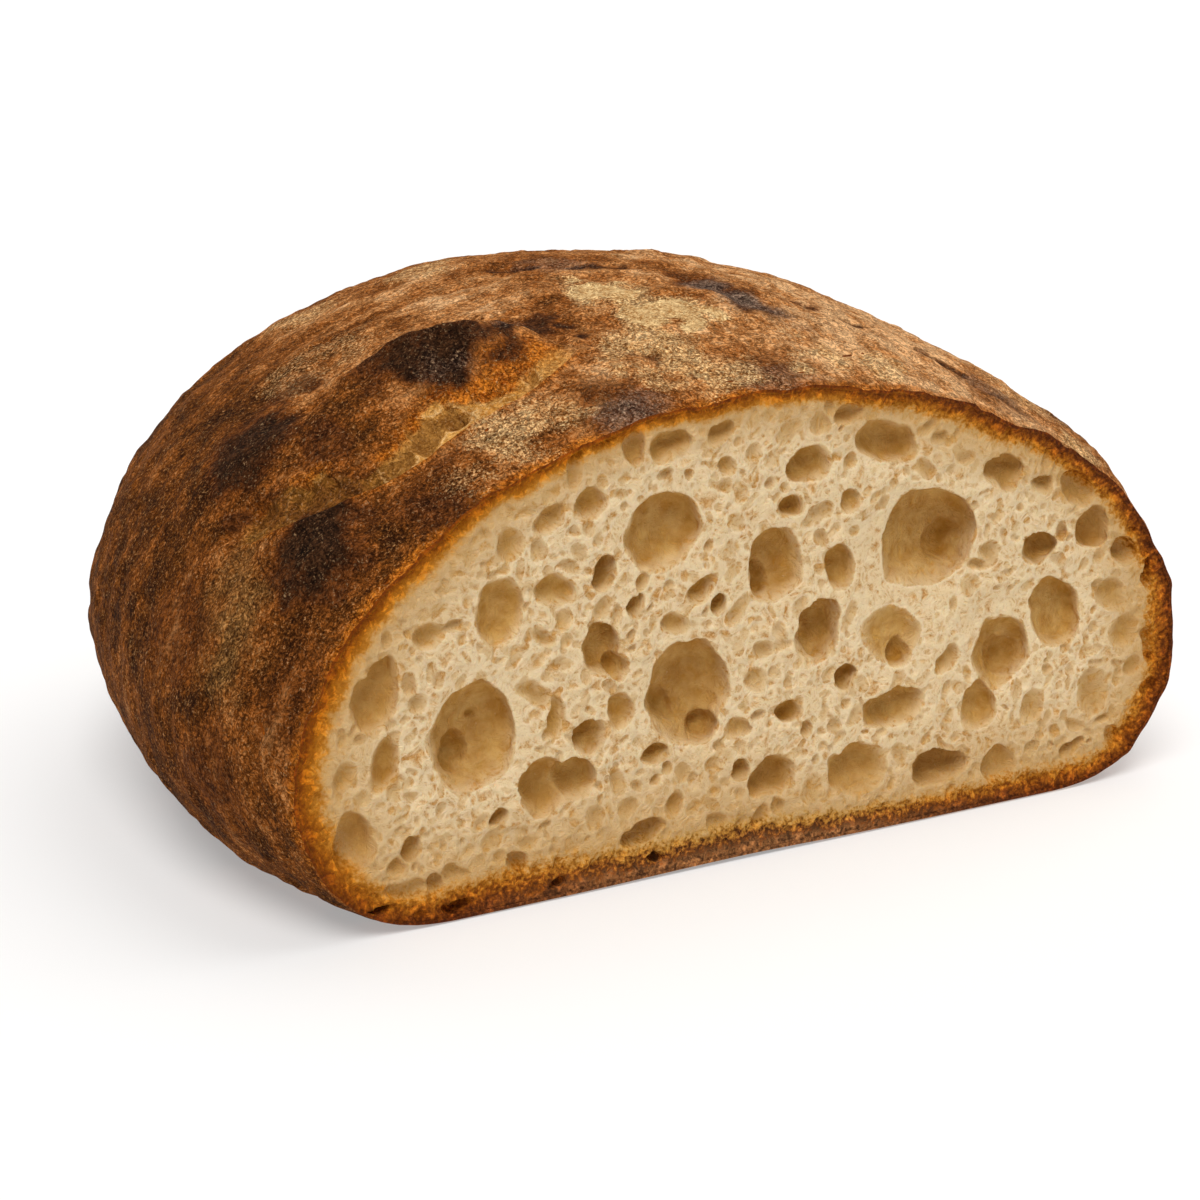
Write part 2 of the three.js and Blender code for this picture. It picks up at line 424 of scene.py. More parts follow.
def wrinkles(points, size, seed):
    """Long soft wrinkles: on the left they run round the loaf, on the right along it."""
    flow = flow_places(points)
    endwise = flow[:, 2]
    ringed = point_noise(flow * np.array((0.3, 1.0, 0.0)), size, seed)
    lengthwise = point_noise(flow * np.array((1.0, 0.3, 0.0)), size, seed + 1)
    sided = ringed * (1 - endwise) + lengthwise * endwise
    behind = far_back(points)
    return sided * (1 - behind) + point_noise(points, 1.6 * size, seed + 2) * behind


def crust_relief(points):
    """How far the real skin stands out from the smooth loaf at points."""
    share, uphill = score_place(points)
    lift = swelling(points) + score_relief(points, share, uphill)
    # Unevenness from 23 mm across down to 2 mm, then the wrinkles, the creases and the flare
    lift += 0.7 * point_noise(points, 23, 11) + 0.45 * point_noise(points, 9, 12)
    lift += 0.35 * point_noise(points, 4, 13) + 0.16 * point_noise(points, 2.2, 14)
    lift += 0.3 * wrinkles(points, 4, 57)
    for start, end, width, depth, _ in CREASES:
        lift -= depth * bell(chord_distance(points, start, end), width)
    lift += KNIFE_FLARE * bell(points[:, 1], 14) * (0.5 + 0.5 * step_up(-points[:, 0], 60, 110))
    return lift * step_up(points[:, 2], 0, 8)


CRUST_THICKNESS = 0.9
RECESS_DEPTH = 20
COLUMNS = 470
BASE_SHARE = 0.13
ROW_TURNS = np.radians(np.concatenate([np.linspace(90, 34, 152), np.linspace(34, 0, 44)[1:-1]]))
FARTHEST_SKIN = 260.0
HALVINGS = 26
SETTLING_ROUNDS = 7
LONGEST_STEP = 3
STEP_SHARE = 0.9


def smooth_reach(origin, directions):
    """How far along each direction the smooth loaf's skin lies from the origin."""
    near, far = np.zeros(len(directions)), np.full(len(directions), FARTHEST_SKIN)
    for _ in range(HALVINGS):
        middle = (near + far) / 2
        p = origin + directions * middle[:, None]
        inside = (roundness(p[:, 0], p[:, 1], p[:, 2]) > 0) & (p[:, 2] > base_height(p[:, 0], p[:, 1]))
        near, far = np.where(inside, middle, near), np.where(inside, far, middle)
    return near


def skin_points(origin, directions, inset, relief):
    """The points along each direction that lie that far under the real skin."""
    reach = smooth_reach(origin, directions)
    for _ in range(SETTLING_ROUNDS):
        p = origin + directions * reach[:, None]
        depth = smooth_depth(p[:, 0], p[:, 1], p[:, 2]) + relief(p)
        reach = reach + np.clip(depth - inset, -LONGEST_STEP, LONGEST_STEP) * STEP_SHARE
    return origin + directions * reach[:, None]


# Columns are spread evenly over the slice's outline, but sparsely over the base
trial = np.linspace(-math.pi / 2, 1.5 * math.pi, 1441)
trial_directions = np.stack([np.cos(trial), 0 * trial, np.sin(trial)], axis=1)
outline = CORE + trial_directions * smooth_reach(CORE, trial_directions)[:, None]
stride = np.linalg.norm(np.diff(outline, axis=0), axis=1)
on_base = outline[1:, 2] < 2
stride[on_base] *= BASE_SHARE * stride[~on_base].sum() / stride[on_base].sum()
walked = np.concatenate([[0], np.cumsum(stride)])
column_angles = np.interp(np.linspace(0, walked[-1], COLUMNS, endpoint=False), walked, trial)
in_slice = np.stack([np.cos(column_angles), 0 * column_angles, np.sin(column_angles)], axis=1)

rows = []
for turn in ROW_TURNS:
    directions = in_slice * math.sin(turn) + np.array((0, math.cos(turn), 0))
    rows.append(directions)
directions = np.concatenate(rows)
skin = skin_points(CORE, directions, 0, crust_relief)
skin[:COLUMNS, 1] = 0
skin[:, 1] = np.maximum(skin[:, 1], 0)
skin[:, 2] = np.maximum(skin[:, 2], 0)
tail = skin_points(CORE, np.array([(0.0, 1.0, 0.0)]), 0, crust_relief)

# The chain of loops runs from behind the loaf over its skin to the slice, in over the crust's
# cut edge, back along the recess and over the recess's flat end
rim_insets = [0.45, CRUST_THICKNESS]
wall_depths = [2.5, 6, 10, 15, RECESS_DEPTH]
loops = [skin[r * COLUMNS:(r + 1) * COLUMNS] for r in range(len(ROW_TURNS))][::-1]
for inset in rim_insets:
    loops.append(skin_points(CORE, in_slice, inset, crust_relief))
wall_loops = [skin_points(CORE + np.array((0, depth, 0)), in_slice, CRUST_THICKNESS, crust_relief)
              for depth in wall_depths]
loops += wall_loops
crust_points = np.vstack([tail] + loops + [CORE + np.array((0, RECESS_DEPTH, 0))])


def chain_faces(loop_count, columns):
    """Quads between neighbouring loops, and a fan of triangles to the point at each end."""
    around = np.arange(columns)
    after = (around + 1) % columns
    faces = [(0, 1 + after[j], 1 + j) for j in around]
    for loop in range(loop_count - 1):
        a = 1 + loop * columns
        b = a + columns
        faces += np.stack([a + around, a + after, b + after, b + around], axis=1).tolist()
    last = 1 + (loop_count - 1) * columns
    end = last + columns
    faces += [(last + j, last + after[j], end) for j in around]
    return [tuple(int(i) for i in face) for face in faces]


def new_piece(name, points, faces, material, sharp_angle=None):
    """A smooth-shaded object from points in millimetres, measured back from the slice."""
    mesh = bpy.data.meshes.new(name)
    mesh.from_pydata(((points + np.array((0, SLICE_Y, 0))) * MM).tolist(), [], faces)
    mesh.validate()
    mesh.shade_smooth()
    if sharp_angle:
        mesh.set_sharp_from_angle(angle=math.radians(sharp_angle))
    mesh.materials.append(material)
    piece = bpy.data.objects.new(name, mesh)
    bpy.context.scene.collection.objects.link(piece)
    return piece


def slice_angle(points):
    """The angle of points round the middle of the slice, in radians from its right."""
    return np.arctan2(points[:, 2] - CORE[2], points[:, 0] - CORE[0])


def set_values(piece, name, values):
    """Stores one number for each point of a piece, for its material."""
    attribute = piece.data.attributes.new(name, "FLOAT", "POINT")
    attribute.data.foreach_set("value", np.asarray(values, dtype=np.float32))


# Where the oven has scorched the crust: place, reach and strength
SCORCHES = [
    ((-109, 67, 101), 13, 0.95),
    ((-76, 49, 121), 9, 0.95),
    ((-67, 45, 125), 9, 1.0),
    ((-59, 44, 127), 7, 0.85),
    ((-51, 46, 128), 6, 0.85),
    ((-42, 48, 128), 6, 0.75),
    ((-112, 45, 90), 9, 0.3),
    ((-119, 53, 86), 3, 0.6),
    ((-102, 33, 97), 8, 0.3),
    ((-114, 21, 87), 13.5, 1.1),
    ((-108, 15, 88), 9, 0.6),
    ((-90, 77, 112), 8, 0.5),
    ((-62, 42, 126), 6, 0.5),
    ((-127, 6, 60), 14, 0.32),
    ((-133, 52, 63), 14, 0.35),
    ((-98, 45, 106), 8, 0.5),
    ((-89, 8, 99), 11, 0.5),
    ((-41, 5, 116), 12, 0.42),
    ((4, 8, 120), 12, 0.3),
    ((-136, 30, 34), 13, 0.4),
    ((-102, 0, 78), 9, 0.3),
    ((13, 59, 131), 8, 0.5),
    ((16, 45, 129), 9, 0.7),
    ((74, 12, 104), 10, 0.28),
    ((106, 25, 90), 14, 0.3),
]
# Where flour from the proving basket still clings: place, reach and strength
FLOURED = [
    ((-17, 59, 132), 9.5, 1.05),
    ((-9, 56, 131), 9, 0.55),
    ((-12, 42, 129), 8, 1.15),
    ((-6, 37, 128), 5, 0.95),
    ((-25, 30, 125), 12, 0.52),
    ((-17, 18, 122), 12, 0.52),
    ((-7, 10, 120), 9, 0.46),
    ((-31, 15, 121), 8, 0.4),
    ((22, 11, 119), 10, 0.5),
    ((33, 9, 117), 8, 0.46),
    ((-67, 14, 111), 11, 0.5),
    ((-58, 14, 115), 8, 0.34),
    ((-79, 9, 105), 8, 0.2),
    ((-88, 84, 116), 12, 0.22),
    ((-78, 82, 120), 9, 0.24),
    ((-36, 119, 128), 12, 0.38),
    ((-65, 128, 117), 12, 0.36),
    ((92, 26, 98), 16, 0.3),
    ((95, 8, 92), 9, 0.5),
    ((108, 30, 84), 14, 0.3),
]
# Where a thin dust of it has browned with the crust
DUSTED = [
    ((-129, 31, 69), 12, 0.45),
    ((-124, 42, 80), 9, 0.32),
]
# Where a grey bloom is painted on the crust as its sheen
GREY_SHEEN_SPOTS = [
    ((13, 57, 131), 8, 0.9),
    ((16, 45, 129), 9, 1.0),
    ((21, 37, 127), 7, 0.7),
    ((-47, 49, 129), 6, 0.55),
    ((-42, 4, 116), 8, 0.8),
    ((-35, 5, 118), 7, 0.6),
    ((-4, 4, 118), 8, 0.5),
    ((8, 6, 119), 7, 0.4),
    ((-70, 42, 124), 7, 0.3),
    ((75, 16, 104), 9, 0.45),
    ((-13, 90, 133), 9, 0.5),
]


# A patch is full within the first share of its reach and has faded out at the second
PATCH_FULL = 0.4
PATCH_END = 1.35


def patches(points, spots, ragged, seed):
    """How strongly the spots cover each point, with ragged outlines."""
    cover = np.zeros(len(points))
    wander = ragged * (point_noise(points, 9, seed) + 0.6 * point_noise(points, 4, seed + 1))
    for place, reach, strength in spots:
        distance = np.linalg.norm(points - np.array(place), axis=1)
        here = step_up(distance + wander, reach * PATCH_END, reach * PATCH_FULL)
        cover = np.maximum(cover, strength * here)
    return cover


# How far uphill of the score its torn floor reaches, and how far the glowing brown above it
# goes on, at shares of the score's course
TORN_EDGES = [(0, 2), (0.08, 5), (0.22, 7), (0.34, 1), (0.48, 5), (0.62, 5), (0.7, 0), (0.85, 1), (1, 2)]
GLOW_REACHES = [(0, 5), (0.4, 7), (0.6, 10), (0.8, 15), (1, 14)]
# How brightly the crust glows along the knife's edge, at angles round the slice in degrees
CUT_GLOWS = [
    (-180, 1.0), (-165, 0.4), (0, 0.0), (15, 0.0), (60, 0.7), (90, 0.9), (130, 0.9), (160, 1.0), (180, 1.0),
]

# The score's torn floor: amber at its lower left end, pale where it tore open last
score_share, score_uphill = score_place(crust_points)
score_crest = np.interp(score_share, EAR_SHARES, EAR_CRESTS)
torn_edge = np.interp(score_share, *np.array(TORN_EDGES).T)
torn_edge += 2.2 * point_noise(crust_points, 6, 63) + 1.0 * point_noise(crust_points, 2.6, 64)
score_open = step_up(score_share, 0.0, 0.08) * step_up(score_share, 0.99, 0.9)
torn_floor = score_open * step_up(score_uphill, -6, -5) * step_up(score_uphill - torn_edge, 1.2, -1.2)
amber = torn_floor * step_up(score_share, 0.5, 0.32)
torn = torn_floor * (0.3 + 0.7 * step_up(score_share, 0.28, 0.45))
torn *= 1 - 0.45 * step_up(score_share, 0.68, 0.8)
outside_pits = pit_places(crust_points)[0]

# The glow: crust that opened late, above the torn floor, on the lip and along the knife's edge.
# The bright line along the lip's edge is partly the lip's toast and partly a painted highlight.
glow_reach = np.interp(score_share, *np.array(GLOW_REACHES).T)
above = score_uphill - torn_edge
glow = score_open * step_up(above, -3, 0) * step_up(above, glow_reach, 0.2 * glow_reach)
glow *= 0.45 + 0.8 * step_up(score_share, 0.3, 0.75) + 0.5 * point_noise(crust_points, 5, 61)
glow = np.maximum(glow, 0.8 * score_open * bell(score_uphill - VALLEY_EDGE[0], 0.9))
cut_glow = np.interp(np.degrees(slice_angle(crust_points)), *np.array(CUT_GLOWS).T)
cut_glow *= step_up(crust_points[:, 1] + 0.8 * point_noise(crust_points, 3, 65), 3.4, 0.6)
glow = np.maximum(glow, cut_glow)

# Scorched, floury and dusty places, grey patches of painted sheen, and painted shade along the creases
ear_crest = step_up(score_share, 0.45, 0.6) * step_up(score_share, 0.9, 0.8)
ear_crest *= bell(score_uphill - score_crest, 4)
scorch = np.maximum(patches(crust_points, SCORCHES, 5, 51), 0.75 * ear_crest)
# Each crease darkens the crust along its line: partly scorch, partly painted shade in the fold
for start, end, width, _, crease_darkness in CREASES:
    ragged = chord_distance(crust_points, start, end) + 2.5 * point_noise(crust_points, 3.5, 60)
    scorch = np.maximum(scorch, 0.75 * crease_darkness * bell(np.maximum(ragged, 0), width * 0.8))
flour = patches(crust_points, FLOURED, 7, 53)
dust = patches(crust_points, DUSTED, 6, 73)
soot = patches(crust_points, GREY_SHEEN_SPOTS, 4, 75)

# How dark the crust is, from 0 (tan) to 1 (nearly black): its browning, with painted shade
# and light added from the sides and in the wrinkles' folds
MEAN_BAKE = 0.3
# Patches: their size, how strongly they brown or pale the crust, and the seed
BAKE_PATCHES = [(24, 0.12, 55), (10, 0.13, 56), (4.5, 0.1, 74)]
# Wrinkles: broad streaks of their own, and the fine wrinkles of the relief, painted dark in the
# folds as shade and paler on the rises as light
WRINKLE_BAKE_AND_SHADE = [(7, 0.1, 71), (4, -0.12, 57)]
# Sides of the loaf: the axis (0 is X, 1 is depth, 2 is height), where a darkening starts and
# where it is full, in millimetres, and how strong it is. The crust is darker below the crown,
# towards the back and on the far left, and paler on the right: partly its browning, partly
# painted shade and light as the lamps fall on it.
SIDE_BAKE_AND_SHADE = [
    (2, 128, 92, 0.34), (0, -15, 60, -0.26), (0, -60, -110, 0.04), (2, 75, 35, -0.08), (1, 25, 60, 0.08),
]
EAR_BACK_BAKE = 0.14
bake = np.full(len(crust_points), MEAN_BAKE)
for size, darkening, seed in BAKE_PATCHES:
    bake += darkening * point_noise(crust_points, size, seed)
for size, darkening, seed in WRINKLE_BAKE_AND_SHADE:
    bake += darkening * wrinkles(crust_points, size, seed)
for axis, start, end, darkening in SIDE_BAKE_AND_SHADE:
    bake += darkening * step_up(crust_points[:, axis], start, end)
ear_back = score_open * step_up(above, 0.7 * glow_reach, 1.3 * glow_reach)
bake += EAR_BACK_BAKE * ear_back * step_up(score_uphill, score_crest + 6, score_crest)
crust_values = {
    "bake": bake,
    "scorch": scorch,
    "flour": flour,
    "dust": dust,
    "soot": soot,
    "torn": torn,
    "amber": amber,
    "glow": glow,
    "behind": far_back(crust_points),
}
STRONGEST_VALUE = 1.5
PIT_BAND = 3

# Round the cut the oven's toasting reaches inwards: at each angle round the slice, its width in
# millimetres and how dark it is, from 0 (golden) over 1 (dark) to 2 (baked on the oven's floor)
TOASTING = [
    (-165, 10.0, 0.4), (-155, 12.0, 1.0), (-140, 11.5, 1.8), (-120, 10.5, 2.0), (-105, 9.5, 2.0),
    (-75, 8.0, 2.0), (-60, 8.0, 2.0), (-45, 7.5, 1.6), (-30, 8.0, 1.1), (-15, 9.5, 0.8), (0, 9.0, 0.9),
    (15, 6.5, 0.9), (30, 6.5, 0.9), (45, 6.5, 0.8), (60, 6.0, 0.7), (75, 5.0, 0.5), (90, 4.6, 0.4),
    (105, 4.6, 0.3), (120, 4.6, 0.2), (135, 5.2, 0.2), (150, 6.5, 0.1), (165, 7.8, 0.1), (180, 8.4, 0.2),
]
toast_turns, toast_widths, toast_darks = np.array(TOASTING).T


def toasting(points, inset):
    """For each point: its way across the toasted rim (1 in white crumb) and the rim's darkness."""
    turn = np.degrees(slice_angle(points))
    width = np.interp(turn, toast_turns, toast_widths, period=360)
    return np.clip(inset / width, 0, 3), np.interp(turn, toast_turns, toast_darks, period=360)


# Sourdough crust: dried and caramelised dough, so matt, grainy and almost without shine. Its
# patterns are wrinkles 2 mm wide, mottles of 5 mm, dimples of 1.5 mm, hair cracks 2.4 mm apart
# and a grain of 0.7 mm. Real grains of flour and bran are finer: these are as coarse as shows.
crust_material, tree, output = new_material("baked_sourdough_crust")
place = add_node(tree, "TexCoord").outputs["Object"]
amounts = {}
for name in crust_values:
    amounts[name] = add_node(tree, "Attribute", {"attribute_name": name}).outputs["Fac"]
flowing = add_node(tree, "Attribute", {"attribute_name": "flow"}).outputs["Vector"]
endwise = add_node(tree, "SeparateXYZ", {}, {0: flowing}).outputs[2]
strands = []
for stretch in ((0.35, 1.0, 0.0), (1.0, 0.35, 0.0)):
    stretched = add_node(tree, "VectorMath", {"operation": "MULTIPLY", 1: stretch}, {0: flowing})
    strands.append(add_node(
        tree, "TexNoise", {"Scale": 0.5, "Detail": 4, "Roughness": 0.7}, {"Vector": stretched},
    ))
sided = add_node(tree, "Mix", {}, {0: endwise, 2: strands[0], 3: strands[1]})
all_ways = add_node(tree, "TexNoise", {"Scale": 320, "Detail": 4, "Roughness": 0.7}, {"Vector": place})
wrinkle = add_node(tree, "Mix", {}, {0: amounts["behind"], 2: sided, 3: all_ways})
grain = add_node(
    tree, "TexNoise", {"Scale": 1500, "Detail": 1, "Roughness": 0.6, "Distortion": 0.8},
    {"Vector": place},
)
dimple = add_node(
    tree, "TexNoise", {"Scale": 650, "Detail": 2, "Roughness": 0.65, "Distortion": 1.0},
    {"Vector": place},
)
mottle = add_node(tree, "TexNoise", {"Scale": 200, "Detail": 5, "Roughness": 0.7}, {"Vector": place})
# Dimples and grains, which also raise the bump, lighten the crust where they rise: tone, with painted light
# on the rises and painted shade in the dips
tone_and_shade = amounts["bake"]
for texture, weight in ((mottle, 0.85), (wrinkle, 0.7), (dimple, -0.4), (grain, -0.55)):
    varied = add_node(tree, "Math", {"operation": "SUBTRACT", 1: 0.5}, {0: texture})
    tone_and_shade = add_node(tree, "Math", {"operation": "MULTIPLY_ADD", 1: weight}, {0: varied, 2: tone_and_shade})
brown = add_node(tree, "ValToRGB", {"stops": [
    (0.0, "#e8b47e"), (0.25, "#c3834a"), (0.5, "#90501c"), (0.75, "#613510"), (1.0, "#3a1d09"),
]}, {0: tone_and_shade})
# Each cover runs from a dark tint in the skin's pits to a light one on its grains: painted shade
# in the pits of the fine relief and painted light on its raised grains
rough = add_node(tree, "Math", {"operation": "ADD"}, {0: dimple, 1: grain})
rougher = add_node(tree, "Math", {"operation": "SUBTRACT"}, {0: rough, 1: mottle})
relief = add_node(tree, "MapRange", {"From Min": 0.25, "From Max": 0.75}, {"Value": rougher})
colour = brown
# Darker tints in the score's pits and lighter ones on the ridges between them: partly their own toast, partly
# painted shade in the pits and painted light on the ridges
pit_rim = add_node(tree, "Attribute", {"attribute_name": "outside_pits"}).outputs["Fac"]
ragged_edge = add_node(tree, "Math", {"operation": "MULTIPLY_ADD", 1: 2.0}, {0: dimple, 2: pit_rim})
in_pit = add_node(tree, "MapRange", {"From Min": 1.2, "From Max": -0.3}, {"Value": ragged_edge})
amounts["pit"] = add_node(tree, "Math", {"operation": "MULTIPLY"}, {0: in_pit, 1: amounts["torn"]})
from_ridge = add_node(tree, "Math", {"operation": "SUBTRACT", 1: 1.25}, {0: ragged_edge})
off_ridge = add_node(tree, "Math", {"operation": "ABSOLUTE"}, {0: from_ridge})
on_ridge = add_node(tree, "MapRange", {"From Min": 0.55, "From Max": 0.0}, {"Value": off_ridge})
amounts["ridge"] = add_node(tree, "Math", {"operation": "MULTIPLY"}, {0: on_ridge, 1: amounts["torn"]})
covers = [
    ("glow", "#8a420a", "#cf7a24", 0.15, 0.9, 0.8),
    ("torn", "#b4752c", "#e0a656", 0.1, 0.7, 0.3),
    ("amber", "#663c14", "#9c6828", 0.1, 0.7, 0.3),
    ("pit", "#80501e", "#b07c3a", 0.1, 1.0, 0.2),
    ("ridge", "#cf9450", "#f2c482", 0.05, 0.8, 0.3),
    ("dust", "#6a4520", "#a27a44", 0.0, 0.8, 0.9),
    ("scorch", "#46220b", "#86491d", 0.0, 0.6, 0.9),
    ("scorch", "#20120a", "#4a2e1a", 0.3, 0.95, 1.2),
    ("soot", "#3a2923", "#947a66", 0.1, 1.2, 0.9),
    ("flour", "#ac7a42", "#ecc88e", 0.12, 0.85, 0.9),
]
for name, pitted_tint, raised_tint, start, end, grainy in covers:
    tints = {"data_type": "RGBA", 6: linear(pitted_tint), 7: linear(raised_tint)}
    tint = add_node(tree, "Mix", tints, {0: relief})
    speckled = add_node(tree, "Math", {"operation": "MULTIPLY_ADD", 1: 0.3}, {0: mottle, 2: amounts[name]})
    finer = add_node(tree, "Math", {"operation": "MULTIPLY_ADD", 1: grainy}, {0: grain, 2: speckled})
    middle = 0.15 + grainy / 2
    cover = add_node(
        tree, "MapRange", {"From Min": start + middle, "From Max": end + middle}, {"Value": finer},
    )
    colour = add_node(
        tree, "Mix", {"data_type": "RGBA"}, {0: cover, 6: colour, 7: tint.outputs[2]},
    ).outputs[2]
# The grain brightens the crust where it rises in the bump: random tone, and painted glints on the raised
# grains
grain_tone_and_glint = add_node(
    tree, "MapRange", {"From Min": 0.35, "From Max": 0.65, "To Min": 0.76, "To Max": 1.28},
    {"Value": grain},
)
cracks = add_node(tree, "TexNoise", {
    "noise_type": "RIDGED_MULTIFRACTAL", "Scale": 420, "Detail": 3, "Roughness": 0.7,
    "Offset": 1.0, "Gain": 2.0, "Distortion": 1.5,
}, {"Vector": place})
stroke = add_node(
    tree, "MapRange", {"From Min": 1.1, "From Max": 2.0, "To Min": 1.18, "To Max": 0.42},
    {"Value": cracks},
)
stroked = add_node(tree, "Math", {"operation": "MULTIPLY"}, {0: grain_tone_and_glint, 1: stroke})
floury = add_node(
    tree, "MapRange", {"From Min": 0.6, "From Max": 1.0, "To Max": 0.7}, {"Value": amounts["flour"]},
)
calm = add_node(tree, "Math", {"operation": "MULTIPLY_ADD", 1: 0.65}, {0: amounts["torn"], 2: floury})
strokes = add_node(tree, "Mix", {3: 1.0}, {0: calm, 2: stroked})
colour = add_node(tree, "VectorMath", {"operation": "SCALE"}, {0: colour, "Scale": strokes})
bumps = add_node(tree, "Math", {"operation": "MULTIPLY_ADD", 1: 0.35}, {0: grain, 2: dimple})
bumpier = add_node(tree, "Math", {"operation": "MULTIPLY_ADD", 1: 1.3}, {0: wrinkle, 2: bumps})
bump = add_node(tree, "Bump", {"Strength": 0.9, "Distance": 0.0011}, {"Height": bumpier})
crust_shader = add_node(
    tree,
    "BsdfPrincipled",
    {"Roughness": 0.75, "IOR": 1.45, "Specular IOR Level": 0.03},
    {"Base Color": colour, "Normal": bump},
)
tree.links.new(crust_shader.outputs[0], output.inputs["Surface"])

# Wheat crumb, also where the knife went through the crust: baked gluten, matt, a little
# translucent and cream, with a web of threads 3 mm wide, a sponge of 1.6 mm pores that are too
# fine to carve, and golden linings in the hollows, painted darker deep in them as shade. Pale
# rims round the hollows are partly a painted highlight. Towards the crust it is toasted.
crumb_material, tree, output = new_material("open_wheat_crumb")
place = add_node(tree, "TexCoord").outputs["Object"]
rim = add_node(tree, "Attribute", {"attribute_name": "rim"}).outputs["Fac"]
hollow = add_node(tree, "Attribute", {"attribute_name": "hollow"}).outputs["Fac"]
wall = add_node(tree, "Attribute", {"attribute_name": "wall"}).outputs["Fac"]
fine = add_node(tree, "TexNoise", {"Scale": 900, "Detail": 2, "Roughness": 0.6}, {"Vector": place})
coarse = add_node(tree, "TexNoise", {"Scale": 220, "Detail": 3, "Roughness": 0.6}, {"Vector": place})
sponge = add_node(
    tree, "TexNoise", {"Scale": 620, "Detail": 4, "Roughness": 0.7, "Distortion": 1.5}, {"Vector": place},
)
web = add_node(tree, "TexNoise", {
    "noise_type": "RIDGED_MULTIFRACTAL", "Scale": 300, "Detail": 4, "Roughness": 0.8,
    "Offset": 1.0, "Gain": 2.0, "Distortion": 0.5,
}, {"Vector": place})
threads = add_node(tree, "MapRange", {"From Min": 0.8, "From Max": 2.3}, {"Value": web})
spongy = add_node(tree, "MapRange", {"From Min": 0.4, "From Max": 0.6}, {"Value": sponge})
flesh = add_node(tree, "Mix", {"data_type": "RGBA", 6: linear("#ba8442"), 7: linear("#dfb67f")}, {0: spongy})
tissue = add_node(tree, "Mix", {"data_type": "RGBA", 7: linear("#f0d5a8")}, {0: threads, 6: flesh.outputs[2]})
ragged_wall = add_node(tree, "Math", {"operation": "MULTIPLY_ADD", 1: 0.5}, {0: fine, 2: wall})
inside = add_node(tree, "MapRange", {"From Min": 0.62, "From Max": 0.42}, {"Value": ragged_wall})
# Deep and enclosed places take more of the lining: its own colour, and painted shade
depth = add_node(tree, "Math", {"operation": "MULTIPLY_ADD", 1: 0.8, 2: 0.22}, {0: hollow})
shade = add_node(tree, "Math", {"operation": "MULTIPLY"}, {0: inside, 1: depth})
lining_place = add_node(tree, "MapRange", {"From Min": 0.35, "From Max": 0.65}, {"Value": coarse})
lining = add_node(
    tree, "Mix", {"data_type": "RGBA", 6: linear("#b47f33"), 7: linear("#cfa158")}, {0: lining_place},
)
pored = add_node(tree, "Mix", {"data_type": "RGBA"}, {0: shade, 6: tissue.outputs[2], 7: lining.outputs[2]})
# A pale band just outside each hollow's wall: partly the whiter fresh cut, partly a painted highlight on the
# rims
outside = add_node(tree, "MapRange", {"From Min": 0.6, "From Max": 0.8}, {"Value": ragged_wall})
near_wall = add_node(
    tree, "MapRange", {"From Min": 1.4, "From Max": 0.8, "To Max": 0.8}, {"Value": ragged_wall},
)
lip = add_node(tree, "Math", {"operation": "MULTIPLY"}, {0: outside, 1: near_wall})
walls = add_node(tree, "Mix", {"data_type": "RGBA", 7: linear("#f3dbb2")}, {0: lip, 6: pored.outputs[2]})
warmth = add_node(
    tree, "MapRange", {"From Min": 0.8, "From Max": 3.0, "To Min": 0.75, "To Max": 0.0}, {"Value": rim},
)
warmed = add_node(tree, "Mix", {"data_type": "RGBA", 7: linear("#c99a57")}, {0: warmth, 6: walls.outputs[2]})
crisp = add_node(tree, "MapRange", {"From Min": 0.35, "From Max": 0.65}, {"Value": fine})
heat = add_node(tree, "Attribute", {"attribute_name": "char"}).outputs["Fac"]
char = add_node(tree, "MapRange", {}, {"Value": heat})
floor_heat = add_node(tree, "MapRange", {"From Min": 1.0, "From Max": 2.0}, {"Value": heat})
crustiness = add_node(tree, "Math", {"operation": "MULTIPLY_ADD", 1: 0.16, 2: 0.12}, {0: char})
crisp_offset = add_node(tree, "Math", {"operation": "SUBTRACT", 1: 0.5}, {0: crisp})
rough_rim = add_node(tree, "Math", {"operation": "MULTIPLY_ADD"}, {0: crisp_offset, 1: crustiness, 2: rim})
rougher_rim = add_node(tree, "Math", {"operation": "MULTIPLY_ADD", 1: 0.5}, {0: coarse, 2: rough_rim})
rim_place = add_node(tree, "Math", {"operation": "SUBTRACT", 1: 0.25}, {0: rougher_rim})
golden_toast = add_node(tree, "ValToRGB", {"stops": [
    (0.0, "#8a4208"), (0.2, "#ae5c0a"), (0.42, "#cc7a16"), (0.64, "#d88e2e"), (0.82, "#d9a45c"),
    (1.0, "#d8b27e"),
]}, {0: rim_place})
dark_toast = add_node(tree, "ValToRGB", {"stops": [
    (0.0, "#5e2c10"), (0.2, "#7e3e12"), (0.45, "#aa5e18"), (0.65, "#c67e24"), (0.85, "#d09648"),
    (1.0, "#d4ac74"),
]}, {0: rim_place})
floor_toast = add_node(tree, "ValToRGB", {"stops": [
    (0.0, "#94603a"), (0.25, "#a46e40"), (0.38, "#7a4622"), (0.5, "#a4652a"), (0.7, "#c68c3a"),
    (0.88, "#d2a258"), (1.0, "#d6b07a"),
]}, {0: rim_place})
sides = add_node(tree, "Mix", {"data_type": "RGBA"}, {0: char, 6: golden_toast, 7: dark_toast})
toast_mix = add_node(tree, "Mix", {"data_type": "RGBA"}, {0: floor_heat, 6: sides.outputs[2], 7: floor_toast})
side_gleam = add_node(tree, "Math", {"operation": "MULTIPLY_ADD", 1: 0.5, 2: 0.1}, {0: char})
gleam_share = add_node(tree, "Math", {"operation": "MULTIPLY_ADD", 1: 0.6}, {0: floor_heat, 2: side_gleam})
